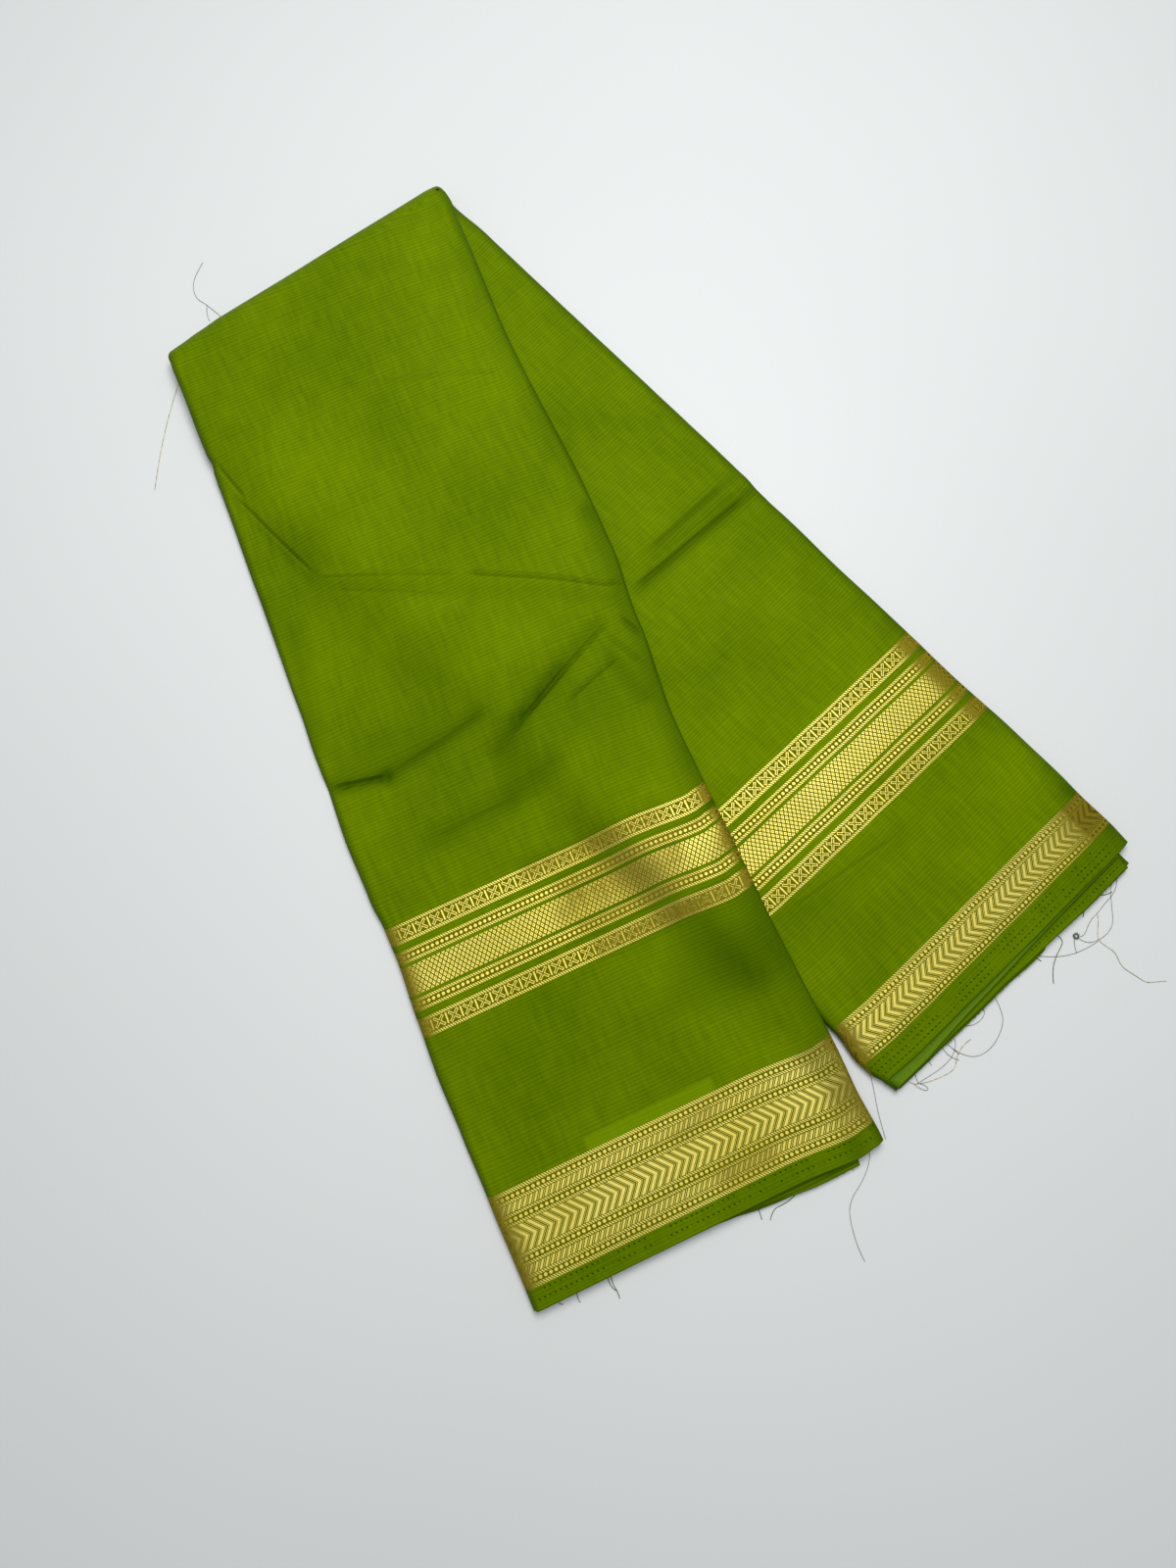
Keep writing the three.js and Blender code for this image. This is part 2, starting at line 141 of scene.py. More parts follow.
# Sharp pressed lines that the material draws: the creases with a line's height, and two more
FRONT_LINES = [(*row[:4], row[6]) for row in FRONT_CREASES if len(row) > 6] + [
    (2, 500, 12, 470, -0.6), (40, 398, 100, 366, -0.3),
]
BACK_LINES = [(*row[:4], row[6]) for row in BACK_CREASES if len(row) > 6]
LINE_WIDTH, LINE_FADE = 2.0, 8.0
# On the cloth's own map: the flap's left edge, and where the right edge turns over
SHOULDER_TURN, EDGE_TURN = 2.4, 196.0

# How far the leaves reach past the flap's end: across, reach. The outer leaf's own end comes first.
FRONT_OUTER_REACH = ((0, 0), (150, 0.3), (186, 2.0), (194, 0.6), (201, -1.2))
FRONT_UPPER_REACH = ((0, -1.3), (108, -0.9), (150, -0.4), (184, 0.4))
FRONT_LOWER_REACH = ((0, -1.0), (104, -0.5), (118, 1.2), (148, 4.2), (170, 5.6), (184, 5.6))
BACK_OUTER_REACH = ((0, -5.6), (29, -3.6), (53, -2.9), (95, -1.9), (121, -1.2), (180, -0.1), (187, -0.6))
BACK_SECOND_REACH = ((0, 1.4), (14, 1.9), (26, 2.0), (48, 0.8), (65, 0.4), (187, 0.9))
BACK_THIRD_REACH = ((0, 1.8), (26, 2.7), (46, 2.7), (77, 4.3), (116, 6.1), (164, 8.6), (187, 8.8))
BACK_LOWER_REACH = ((0, 2.0), (26, 3.4), (77, 5.4), (115, 7.3), (119, 5.0), (164, 7.6), (187, 7.8))
# Heights in the stack over which the next leaf takes over, and over which the outer one does
THIRD_LEAF, SECOND_LEAF = (2.9, 3.3), (4.7, 5.1)
OUTER_LEFT, OUTER_RIGHT = (4.6, 6.3), (1.0, 3.2)
# How far the ends' corners are drawn in, over which distances from the end and which heights
FRONT_CORNER_INSET, BACK_CORNER_INSET = 16.0, 7.5
CORNER_ZONE, CORNER_HEIGHTS = (-6, 48), (1.0, 3.2)
# The share of the creases and swells that is left at the ends
END_LUMPS, END_LUMPS_ZONE = 0.35, (-6, 10)
# The shade between the leaves' ends, and the distance over which it fades
END_SHADE, END_SHADE_REACH = 0.85, 1.1

# The outer leaf's turned right-hand edges: inset and height where it lies on top and underneath
TURNED_EDGE = (
    ((4.2, 6.45), (4.2, 0.15)), ((2.9, 6.38), (3.0, 0.15)), ((1.8, 6.1), (1.9, 0.16)),
    ((1.0, 5.65), (1.2, 0.18)), ((0.45, 5.1), (0.8, 0.2)), ((0.12, 4.5), (0.6, 0.24)),
    ((0.0, 3.95), (0.5, 0.3)), ((0.3, 3.55), (0.6, 0.38)), ((1.1, 3.36), (1.2, 0.43)),
    ((2.6, 3.32), (2.6, 0.45)), ((6.0, 3.34), (6.0, 0.46)), ((12.0, 3.38), (12.0, 0.46)),
)
SHOULDER_RADIUS = 4.2
SHOULDER_NARROWING = 0.85
# Heights of the inner leaves; the first ones show a pale woven edge
INNER_DEPTHS = (0.85, 1.2, 2.0, 2.3, 2.6, 2.9)
PALE_LEAVES = 2
INNER_SINK, SINK_ZONE = 0.7, (15, 45)
INNER_SPACING, INNER_THINNER, INNER_CLEARANCE, INNER_SEED = 5.0, 0.9, 0.15, 5
# Points across the strip and round its left side, rings round the fold, closer rows at the ends
TOP_SPANS, BOTTOM_SPANS, OUTER_TURN, OUTER_WRAP = 52, 34, 13, 18
INNER_TOP_SPANS, INNER_BOTTOM_SPANS, INNER_TURN, INNER_WRAP = 24, 16, 7, 9
END_ZONE, END_ROWS = 9.0, 6
# Where the roll of the fold ends in a hollow: the middle of a dark spot of painted shade, in metres
FOLD_END_SHADOW = (-0.1155, 0.3169, 0.0130)

# The loose threads on the table: x, y, x, y of the points of each, in tenths of a millimetre
DARK_THREADS = (
    (1923, -1615, 1937, -1638, 1983, -1728, 1964, -1811, 1913, -1895, 1858, -1938, 1798, -1955, 1740, -1938,
     1695, -1907),
    (1855, -1682, 1885, -1708, 1870, -1747, 1822, -1785, 1775, -1793, 1744, -1775),
    (1688, -1846, 1710, -1853, 1715, -1882, 1702, -1933, 1667, -1977, 1612, -2022, 1545, -2059, 1505, -2085,
     1479, -2094),
    (1479, -2094, 1521, -2120, 1552, -2128, 1555, -2110, 1531, -2090, 1492, -2088),
    (1480, -2024, 1491, -2039, 1493, -2072, 1505, -2088),
    (1623, -1877, 1638, -1897, 1657, -1933, 1686, -1955, 1726, -1968),
    (1655, -1872, 1672, -1887, 1709, -1920, 1729, -1938),
    (1547, -1943, 1563, -1968, 1578, -1996),
    (1242, -2009, 1251, -2039, 1259, -2085, 1269, -2135, 1277, -2210, 1294, -2285, 1316, -2371),
    (1223, -2408, 1235, -2451, 1212, -2531, 1171, -2604, 1123, -2665, 1106, -2738, 1123, -2822, 1144, -2906,
     1179, -2977),
    (2646, -981, 2649, -1008, 2640, -1046, 2618, -1092, 2571, -1131, 2526, -1192, 2483, -1225, 2459, -1278,
     2441, -1317, 2410, -1317),
    (2612, -997, 2621, -1022, 2604, -1059, 2607, -1099, 2607, -1179, 2608, -1232, 2592, -1278, 2542, -1325,
     2473, -1354, 2434, -1343, 2403, -1317),
    (2138, -1401, 2168, -1420, 2242, -1425, 2322, -1422, 2396, -1404, 2472, -1370, 2514, -1341),
    (2385, -1327, 2384, -1370, 2396, -1404),
    (-2417, 2362, -2480, 2421, -2542, 2473, -2579, 2500, -2616, 2519, -2652, 2618, -2622, 2698, -2590, 2765),
    (-2542, 2473, -2551, 2421, -2524, 2369),
)
PALE_THREADS = (
    (1797, -1857, 1757, -1882, 1729, -1920, 1710, -1963, 1704, -2009, 1663, -2039, 1610, -2059, 1557, -2081,
     1505, -2088, 1479, -2094, 1441, -2074),
    (2526, -1195, 2528, -1232, 2518, -1285, 2516, -1317, 2519, -1338, 2569, -1377, 2602, -1396, 2617, -1436,
     2634, -1482, 2689, -1515, 2727, -1541, 2763, -1568, 2817, -1553, 2865, -1553),
    (-2676, 1994, -2712, 1841, -2745, 1652, -2767, 1465, -2777, 1279),
)
GREEN_THREADS = (
    (852, -2614, 838, -2647, 798, -2682, 747, -2706, 714, -2719, 699, -2774),
    (630, -2692, 638, -2713, 649, -2750, 656, -2771),
    (-134, -3022, -125, -3048, -119, -3096, -94, -3112, -82, -3154),
    (-149, -3027, -144, -3060, -132, -3101, -99, -3117),
    (-305, -3112, -301, -3136, -295, -3166, -282, -3173),
    (-405, -3154, -395, -3183, -370, -3183),
    (2224, -1248, 2254, -1275, 2291, -1301, 2319, -1325, 2327, -1351, 2297, -1396, 2272, -1443, 2256, -1500,
     2258, -1567),
    (2154, -1401, 2168, -1422, 2188, -1443, 2201, -1446),
    (2445, -1147, 2453, -1172, 2451, -1199, 2445, -1211),
    (2535, -1083, 2547, -1099, 2588, -1088, 2617, -1072),
)
# The knot in the dark threads: middle, loops, points of each, angle between them
KNOT_CENTRE, KNOT_LOOPS, KNOT_POINTS, KNOT_STEP = (239.9, -131.2), 7, 9, 0.8

# The photo's camera, fitted to the corners: metres, radians, millimetres
CAMERA_PLACE = (-0.02445, -0.17426, 0.64122)
CAMERA_TILT = math.radians(11.207)
SENSOR_WIDTH = 36.0


def linear(red, green, blue):
    """A colour given as screen values from 0 to 255, as Blender's linear colour."""
    def one(value):
        value /= 255
        return value / 12.92 if value <= 0.04045 else ((value + 0.055) / 1.055) ** 2.4
    return (one(red), one(green), one(blue), 1.0)


def colour_property(name, description, *screen):
    return bpy.props.FloatVectorProperty(
        name=name, description=description, subtype="COLOR", size=4, default=linear(*screen))


class SareeCloth(bpy.types.PropertyGroup):
    """Sizes and colours of the silk."""
    thickness: bpy.props.FloatProperty(
        name="Thickness", description="Thickness of one leaf as modelled", default=0.0003, unit="LENGTH")
    spacing: bpy.props.FloatProperty(
        name="Spacing", description="Distance between the outer leaves' rows of points", default=0.00315,
        unit="LENGTH")
    crease: bpy.props.FloatProperty(
        name="Creases", description="Strength of the fine creases", default=1.0)
    green: colour_property("Green", "Colour of the silk", 94, 119, 0)
    light_green: colour_property("Light green", "Colour of the silk where the dye is palest", 112, 138, 0)
    deep_green: colour_property("Deep green", "Colour of the silk where the dye is deepest", 74, 99, 0)
    shade_green: colour_property("Shaded green", "Colour of the silk in its hollows and turns", 40, 68, 0)
    pale_edge: colour_property("Pale edge", "Colour of the woven edge of the lower leaves", 98, 132, 34)


class SareeZari(bpy.types.PropertyGroup):
    """Colours of the gold thread."""
    float_gold: colour_property("Gold", "Colour of the long gold floats", 230, 216, 118)
    ground_gold: colour_property("Ground", "Colour of the ground between the floats", 98, 98, 0)
    # painted shade: the colour the gold floats are darkened to where they turn away from the light
    shaded_gold: colour_property("Dull gold", "Colour of the gold floats where they turn away", 86, 66, 4)
    shine: bpy.props.FloatProperty(
        name="Shine", description="How metallic the gold floats are", default=0.55, subtype="FACTOR")


class SareeThreads(bpy.types.PropertyGroup):
    """Loose threads and frayed ends."""
    radius: bpy.props.FloatProperty(
        name="Radius", description="Radius of a loose thread", default=0.00013, unit="LENGTH")
    frays: bpy.props.IntProperty(
        name="Frays", description="Number of short frayed ends", default=180)
    seed: bpy.props.IntProperty(
        name="Seed", description="Seed of the frayed ends", default=11)


class SareeStage(bpy.types.PropertyGroup):
    """Table, lights and camera."""
    table: colour_property("Table", "Colour of the table", 221, 224, 223)
    lens: bpy.props.FloatProperty(
        name="Lens", description="Focal length in millimetres", default=27.0)
    key_power: bpy.props.FloatProperty(
        name="Key light", description="Power of the light beyond the fold", default=7.4, unit="POWER")
    overhead_power: bpy.props.FloatProperty(
        name="Overhead light", description="Power of the wide light above", default=9.6, unit="POWER")
    sky: bpy.props.FloatProperty(
        name="Room light", description="Strength of the light of the room", default=0.3)


def mix(a, b, share):
    return a + (b - a) * share


def ease(x, low, high):
    share = np.clip((x - low) / (high - low), 0, 1)
    return share * share * (3 - 2 * share)


def from_table(table, x):
    """Reads a table of (place, value) with eased steps between its rows."""
    places, values = (np.array(column, float) for column in zip(*table))
    row = np.clip(np.searchsorted(places, x) - 1, 0, len(places) - 2)
    share = ease(np.asarray(x, float), places[row], places[row + 1])
    return mix(values[row], values[row + 1], share)


def swell(rows, x, y):
    """Height of the creases at x, y, each one a line with a rounded section."""
    height = np.zeros(np.broadcast(x, y).shape)
    for x1, y1, x2, y2, tall, width, *_ in rows:
        dx, dy = x2 - x1, y2 - y1
        along = np.clip(((x - x1) * dx + (y - y1) * dy) / (dx * dx + dy * dy), 0, 1)
        away = np.hypot(x - x1 - along * dx, y - y1 - along * dy)
        height += tall * np.exp(-((away / width) ** 2))
    return height


def undulation(x, y):
    """Slight unevenness of the whole stack."""
    return (
        0.14 * np.sin(x / 13.0 + 0.6 * np.sin(y / 31.0)) * np.sin(y / 19.0 + 1.3)
        + 0.10 * np.sin((x + 1.7 * y) / 23.0 + 0.8)
        + 0.07 * np.sin((x - 2.1 * y) / 11.0 + 2.0 * np.sin(x / 47.0))
    )


def directions(start, stop):
    """The way from start to stop, and the way square to it on its left."""
    along = (stop - start) / np.hypot(*(stop - start))
    return along, np.array((-along[1], along[0]))


class Flap:
    """One flat stretch of the strip, from its end to the fold."""

    def __init__(self, end_left, end_right, bows, swells, creases, shades, reaches, corner_inset):
        self.end_left, self.end_right, self.bows = end_left, end_right, bows
        self.swells, self.creases, self.shades = swells, creases, shades
        self.reaches, self.corner_inset = reaches, corner_inset
        across = end_right - end_left
        self.width = np.hypot(*across)
        self.across = across / self.width
        self.outward = []
        for end, fold, sign in ((end_left, FOLD_LEFT, -1), (end_right, FOLD_RIGHT, 1)):
            self.outward.append(directions(fold, end)[1] * sign)

    def length(self, share):
        share = np.asarray(share, float)[..., None]
        end = mix(self.end_left, self.end_right, share)
        fold = mix(FOLD_LEFT, FOLD_RIGHT, share)
        return np.hypot(*np.moveaxis(fold - end, -1, 0))

    def plan(self, offset, share, from_end):
        """Place seen from above, for an offset from the edge, a share of the width and a distance."""
        whole = self.length(share)
        s = np.asarray(share, float)[..., None]
        end = mix(self.end_left, self.end_right, s)
        place = mix(end, mix(FOLD_LEFT, FOLD_RIGHT, s), (from_end / whole)[..., None])
        place = place + np.asarray(offset, float)[..., None] * self.across
        stray = whole - from_end
        for bow, outward, weight in zip(self.bows, self.outward, (1 - share, share)):
            place = place + (from_table(bow, stray) * weight)[..., None] * outward
        return place

    def cover(self, across, z):
        """How far the leaves above an inner leaf reach past the flap's end."""
        top, second, third, _ = (from_table(table, across) for table in self.reaches)
        return mix(mix(third, second, ease(z, *THIRD_LEAF)), top, ease(z, *SECOND_LEAF))

    def reach(self, across, z, outer):
        """How far a leaf reaches past the flap's end, by its height in the stack."""
        top, second, third, lower = (from_table(table, across) for table in self.reaches)
        inner = mix(mix(lower, third, ease(z, *THIRD_LEAF)), second, ease(z, *SECOND_LEAF))
        if not outer:
            return inner
        right = ease(across, 0.5 * self.width, 0.9 * self.width)
        low, high = (mix(left, other, right) for left, other in zip(OUTER_LEFT, OUTER_RIGHT))
        return mix(inner, top, ease(z, low, high))


def front_underside(place):
    """The front flap lies on the back flap and comes down to the table beside it."""
    edge, inward = directions(FOLD_LEFT, BACK_END_LEFT)
    inside = (place - FOLD_LEFT) @ inward
    slope = from_table(SLOPE_WIDTH, (place - FOLD_LEFT) @ edge)
    lift = ease(inside, -slope - SLOPE_CLEARANCE, -SLOPE_CLEARANCE)
    return lift * (STACK + SEAM + swell(BACK_SWELLS, place[..., 0], place[..., 1]))


FRONT = Flap(
    FRONT_END_LEFT, FRONT_END_RIGHT, (FRONT_LEFT_BOW, FRONT_RIGHT_BOW),
    FRONT_SWELLS, FRONT_CREASES, FRONT_SHADES,
    (FRONT_OUTER_REACH, FRONT_UPPER_REACH, FRONT_UPPER_REACH, FRONT_LOWER_REACH), FRONT_CORNER_INSET,
)
BACK = Flap(
    BACK_END_LEFT, BACK_END_RIGHT, (BACK_LEFT_BOW, BACK_RIGHT_BOW),
    BACK_SWELLS, BACK_CREASES, BACK_SHADES,
    (BACK_OUTER_REACH, BACK_SECOND_REACH, BACK_THIRD_REACH, BACK_LOWER_REACH), BACK_CORNER_INSET,
)
FOLD_OUTWARD = directions(FOLD_LEFT, FOLD_RIGHT)[1]


def flap_points(flap, section, from_end, crease):
    """Points of one section of the strip on a flap; the section's height is above the flap's underside."""
    offset, share, height = section
    place = flap.plan(offset, share, from_end)
    x, y = place[..., 0], place[..., 1]
    across = share * flap.width + offset
    lumps = swell(flap.swells, x, y) + undulation(x, y)
    lumps = lumps + crease * swell(flap.creases, across, from_end)
    under = front_underside(place) if flap is FRONT else 0.0
    quiet = mix(END_LUMPS, 1, ease(from_end, *END_LUMPS_ZONE))
    z = under + height + lumps * ease(height, 1, 4) * quiet
    return np.column_stack((x, y, z))


class LeafPath:
    """The line that one leaf follows across the strip, on both flaps.

    It starts on the right, below the middle of the front flap's stack, runs left, turns round the
    shoulder and comes back on top. Heights count from the slot between the flaps.
    """

    def __init__(self, right_end, shoulder, top_spans, bottom_spans):
        depth = right_end[0][0][1]
        lower = [self.edge(under, over) for over, under in reversed(right_end)]
        upper = [self.edge(over, under) for over, under in right_end]
        top = [self.flat(share, depth) for share in np.linspace(0, 1, top_spans + 1)[1:-1]]
        bottom = [self.flat(share, STACK - depth) for share in np.linspace(1, 0, bottom_spans + 1)[1:-1]]
        turn = [self.turn(angle, depth) for angle in np.linspace(-90, 90, shoulder)]
        rows = lower + bottom + turn + top + upper
        self.front, self.back = np.array(rows, float).transpose(1, 2, 0)
        self.seam = len(lower) + len(bottom) + shoulder // 2
        flat = np.column_stack((self.front[0] + self.front[1] * FLAT_WIDTH, self.front[2]))
        travelled = np.concatenate(([0], np.cumsum(np.hypot(*np.diff(flat, axis=0).T))))
        self.across = travelled - travelled[self.seam]
        self.width = travelled[-1]

    @staticmethod
    def edge(front, back):
        """A point near the right-hand edge: inset and height on the front and on the back flap."""
        return (-front[0], 1, front[1]), (-back[0], 1, STACK - back[1])

    @staticmethod
    def flat(share, height):
        return [(SHOULDER_RADIUS * (1 - 2 * share), share, height)] * 2

    @staticmethod
    def turn(angle, depth):
        cosine, sine = math.cos(math.radians(angle)), math.sin(math.radians(angle))
        half = STACK / 2
        radius = SHOULDER_RADIUS - SHOULDER_NARROWING * (STACK - depth)
        return [(SHOULDER_RADIUS - radius * cosine, 0, half + (depth - half) * sine)] * 2


def inner_right_end(depth, generator):
    """The plain right-hand edge of an inner leaf, drawn in where the outer leaf turns over it."""
    over, under = 2.7 + generator.uniform(0, 0.6), 0.3 + generator.uniform(0, 1.1)
    return [((one, STACK - depth), (other, depth)) for one, other in ((SHOULDER_RADIUS,) * 2, (over, under))]


def sink(share, z, from_end):
    """Away from its edges an inner leaf lies a little deeper, clear of the leaf over it."""
    inward = z - STACK / 2
    inside = ease(from_end, *SINK_ZONE) * ease(share, 0, 0.1) * (1 - ease(share, 0.9, 1))
    return np.sign(inward) * np.minimum(INNER_SINK, 0.8 * np.abs(inward)) * inside


def leaf_rings(path, spacing, wrap_steps, crease, outer, jitter):
    """Rings of points from end to end round the fold, their distances from both ends, and their shades."""
    turn = math.pi * FOLD_REACH
    length = {flap: flap.length(path.front[1]) - FOLD_REACH for flap in (FRONT, BACK)}
    whole = length[FRONT] + length[BACK] + turn * path.front[2] / STACK

    def flap_rings(flap, section):
        long = float(flap.length(0.5))
        near = np.linspace(0, END_ZONE, END_ROWS + 1)[:-1]
        steps = np.concatenate((near, np.linspace(END_ZONE, long, int(long / spacing)))) / long
        offset, share, height = section
        z = height if flap is FRONT else STACK - height
        across = share * flap.width + offset
        reach = flap.reach(across, z, outer) + jitter[0] * np.sin(across / jitter[1] + jitter[2])
        made = []
        for step in steps:
            from_end = mix(-reach, length[flap], step)
            drawn_in = flap.corner_inset * (1 - ease(from_end, *CORNER_ZONE))
            if outer:
                drawn_in = drawn_in * (1 - ease(z, *CORNER_HEIGHTS))
            wander = 0 if outer else jitter[0] * np.sin(from_end / (3 * jitter[1]) + jitter[2])
            sunk = 0 if outer else sink(share, z, from_end)
            moved = (offset - share * (drawn_in + wander), share, z - sunk)
            shade = swell(flap.shades, across, from_end)
            if not outer:
                bare = np.maximum(-from_end - flap.cover(across, z), 0)
                shade = shade + END_SHADE * np.exp(-bare / END_SHADE_REACH)
            made.append((flap_points(flap, moved, from_end, crease), from_end + reach, shade))
        return made

    front = flap_rings(FRONT, path.front)
    back = flap_rings(BACK, path.back)
    rings = [(points, travelled, whole - travelled, shade) for points, travelled, shade in front]
    start, stop = back[-1][0], front[-1][0]
    for degrees in np.linspace(180, 0, wrap_steps + 1)[1:-1]:
        section = mix(path.back, path.front, ease(degrees, *FOLD_BLEND))
        angle = math.radians(degrees)
        turned = (1 - math.cos(angle)) / 2
        bulge = from_table(FOLD_BOW, section[1])
        reach = mix(SLOT_REACH, FOLD_REACH + bulge, section[2] / STACK) * math.sin(angle)
        points = mix(start, stop, turned)
        points[:, :2] += reach[:, None] * FOLD_OUTWARD
        travelled = length[FRONT] + turn * section[2] / STACK * (1 - degrees / 180)
        rings.append((points, travelled, whole - travelled, np.zeros(len(points))))
    rings += [(points, whole - travelled, travelled, shade) for points, travelled, shade in reversed(back)]
    return [np.array(column) for column in zip(*rings)]


def clear_selection():
    for other in bpy.context.selected_objects:
        other.select_set(False)


def cloth_leaf(name, path, rings, travel_front, travel_back, shades, thickness):
    """A primitive grid laid along the rings, given the cloth's thickness."""
    clear_selection()
    rows, columns = rings.shape[:2]
    bpy.ops.mesh.primitive_grid_add(x_subdivisions=columns - 1, y_subdivisions=rows - 1, size=1)
    leaf = bpy.context.active_object
    leaf.name = name
    mesh = leaf.data
    grid = np.zeros(len(mesh.vertices) * 3)
    mesh.vertices.foreach_get("co", grid)
    column, row = (
        np.rint((grid[axis::3] + 0.5) * (count - 1)).astype(int) for axis, count in enumerate((columns, rows)))
    mesh.vertices.foreach_set("co", (rings[row, column] * MM).ravel())
    corner = np.zeros(len(mesh.loops), int)
    mesh.loops.foreach_get("vertex_index", corner)
    while mesh.uv_layers:
        mesh.uv_layers.remove(mesh.uv_layers[0])
    for layer_name, travelled in (("from_front", travel_front), ("from_back", travel_back)):
        layer = mesh.uv_layers.new(name=layer_name)
        place = np.column_stack((path.across[column[corner]], travelled[row[corner], column[corner]])) * MM
        layer.data.foreach_set("uv", place.ravel())
    shade = mesh.attributes.new("shade", "FLOAT", "POINT")
    shade.data.foreach_set("value", np.clip(shades[row, column], 0, 1))
    mesh.update()
    solid = leaf.modifiers.new("thickness", "SOLIDIFY")
    solid.thickness = thickness
    solid.offset = -1
    bpy.ops.object.modifier_apply(modifier=solid.name)
    bpy.ops.object.shade_smooth_by_angle(angle=math.radians(50))
    return leaf


def pressed_lines(across, from_end, lines):
    """Height of narrow ridges and grooves along straight lines on the cloth's own map."""
    heights = []
    for x1, y1, x2, y2, tall in lines:
        dx, dy = x2 - x1, y2 - y1
        long = math.hypot(dx, dy)
        right, up = across - (x1 + SHOULDER_TURN), from_end - y1
        along = (right * (dx / long) + up * (dy / long)).highest(0.0).lowest(long)
        away_x, away_y = right - along * (dx / long), up - along * (dy / long)
        away = (away_x * away_x + away_y * away_y).math("SQRT")
        ends = along.fade(0.0, LINE_FADE) * along.fade(long, long - LINE_FADE)
        heights.append(away.fade(LINE_WIDTH, 0.0) * ends * tall)
    return sum(heights[1:], heights[0])


class Signal:
    """A shader value, the output of a node."""

    def __init__(self, socket):
        self.socket = socket
        self.tree = socket.id_data

    @staticmethod
    def node(tree, kind, settings=None, inputs=None, output=0):
        """Adds a shader node of this kind, sets its settings, then its sockets' values or links."""
        made = tree.nodes.new("ShaderNode" + kind)
        for key, value in (settings or {}).items():
            setattr(made, key, value)
        for key, value in (inputs or {}).items():
            if isinstance(value, Signal):
                tree.links.new(value.socket, made.inputs[key])
            else:
                made.inputs[key].default_value = value
        return Signal(made.outputs[output]) if made.outputs else None

    def math(self, operation, *others):
        inputs = dict(enumerate((self, *others)))
        return Signal.node(self.tree, "Math", {"operation": operation}, inputs)

    def __rsub__(self, other):
        return Signal.node(self.tree, "Math", {"operation": "SUBTRACT"}, {0: other, 1: self})

    def to_nearest(self, period):
        """Distance from the nearest multiple of period."""
        return self.math("PINGPONG", period / 2)

    def fade(self, low, high):
        """Goes from 0 at low to 1 at high."""
        return Signal.node(self.tree, "MapRange", {"clamp": True}, {0: self, 1: low, 2: high})

    def colours(self, first, second):
        """Mixes two colours by this value."""
        settings = {"data_type": "RGBA", "clamp_factor": True}
        return Signal.node(self.tree, "Mix", settings, {0: self, 6: first, 7: second}, 2)


# What adds one Math node to a signal; near(centre, reach) gives 1 within reach of centre
for method, operation in {
    "__add__": "ADD", "__radd__": "ADD", "__sub__": "SUBTRACT", "__mul__": "MULTIPLY", "__rmul__": "MULTIPLY",
    "__truediv__": "DIVIDE", "__lt__": "LESS_THAN", "__gt__": "GREATER_THAN", "__abs__": "ABSOLUTE",
    "lowest": "MINIMUM", "highest": "MAXIMUM", "near": "COMPARE",
}.items():
    setattr(Signal, method, functools.partialmethod(Signal.math, operation))


def new_material(name):
    """An empty material, and the function that adds nodes to it."""
    material = bpy.data.materials.new(name)
    material.use_nodes = True
    material.node_tree.nodes.clear()
    return material, functools.partial(Signal.node, material.node_tree)


def nearest(rows):
    """Distance from the nearest centre, given each value with its centres."""
    distances = [abs(value - centre) for value, centres in rows for centre in centres]
    return functools.reduce(Signal.lowest, distances)


# Woven bands by their distance in mm from a border's middle or top: from, to, what they hold.
# The three masks are of ticks, of bars or diamonds, and of arrows or crosses.
BAND_REACH = 40.0
TICKS, BARS, ARROWS = (1, 0, 0), (0, 1, 0), (0, 0, 1)
BROAD_MIDDLE, BROAD_HALF = 35.8, 24.6
BROAD_BANDS = (
    (0, 6.7, ARROWS), (7.0, 8.5, TICKS), (11.6, 13.1, TICKS), (13.5, 17.6, BARS), (17.9, 19.4, TICKS),
    (22.4, 24.6, TICKS),
)
BROAD_DOTS = (10.05, 20.9)
NARROW_TOP, NARROW_HEIGHT, NARROW_MIDDLE, NARROW_PAST = 37.9, 23.9, 11.8, 23.95
NARROW_BANDS = (
    (0, 0.95, TICKS), (1.2, 2.05, TICKS), (4.5, 6.0, TICKS), (6.4, 17.2, ARROWS), (17.5, 18.6, TICKS),
    (18.8, 20.0, TICKS), (23.0, 23.9, TICKS),
)
NARROW_DOTS = (3.2, 21.5)
STRIPE_FRONT_MIDDLE, STRIPE_BACK_MIDDLE = 178.65, 134.9
STRIPE_BANDS = (
    (0, 7.8, BARS), (9.6, 11.2, TICKS), (14.7, 16.3, TICKS), (20.3, 21.9, TICKS), (22.3, 28.6, ARROWS),
    (29.0, 30.6, TICKS),
)
STRIPE_DOTS = (12.95,)
# The gold ground of the stripe bands: half widths, and the middle of the row of crosses
LATTICE_HALF, DOTS_HALF, CROSS_MIDDLE, CROSS_HALF = 7.9, 3.4, 25.45, 5.2

# Repeats along the bands, with the slant of each and where its float begins or ends
TICK_PERIOD, TICK_SLANT, TICK_WIDTH = 1.425, 0.7, 0.4
DOT_PERIOD, DOT_OUTSIDE, DOT_INSIDE = 2.85, 0.95, 0.72
ARROW_PERIOD, ARROW_SLANT, ARROW_WIDTH, ARROW_LINE = 4.45, 0.84, 0.96, (1.6, 0.16)
BAR_PERIOD, BAR_SLANT, BAR_WIDTH, BAR_LINE = 3.0, 0.72, 0.66, 1.3
LATTICE_ALONG, LATTICE_ACROSS, LATTICE_LINE = 2.85, 3.75, (0.265, 0.125)
BOX_PERIOD, BOX_BAR, BOX_HEIGHT = 8.6, 0.45, 2.9
ARM_ACROSS, ARM_ALONG, ARM_LINE = 0.55, 3.5, 0.22

